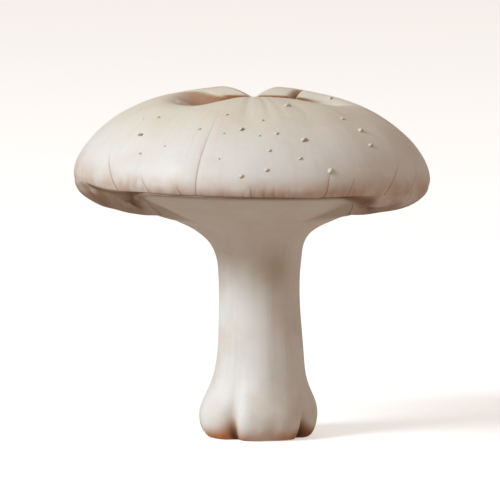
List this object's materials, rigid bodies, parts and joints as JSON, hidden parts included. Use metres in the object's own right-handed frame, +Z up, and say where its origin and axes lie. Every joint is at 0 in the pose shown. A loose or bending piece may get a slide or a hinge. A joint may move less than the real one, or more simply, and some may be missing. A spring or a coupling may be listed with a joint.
{
  "type": "button mushroom",
  "caption": "Fresh button mushroom: a broad pale cap folded at the crown, on a stout stem that flares into the cap and stands on its lobed, flat-trimmed foot.",
  "frame": {"origin": "on the flat trimmed foot's plane, below the middle of the mushroom's outline", "axes": "+Z up along the stem, +X across the mushroom to its right as seen from the front, -Y towards its front, where the veil reaches the cap's lip"},
  "size_m": [0.06, 0.06, 0.0588],
  "materials": {
    "cap_skin": "satin, faintly fibrous off-white skin with small tan scales and orange-brown bruises in the folds",
    "stem_flesh": "matt off-white flesh, finely fibrous lengthwise, browned at the cut foot"
  },
  "bodies": {
    "root": {"cap": "cap_skin", "stem": "stem_flesh"}
  },
  "joints": []
}
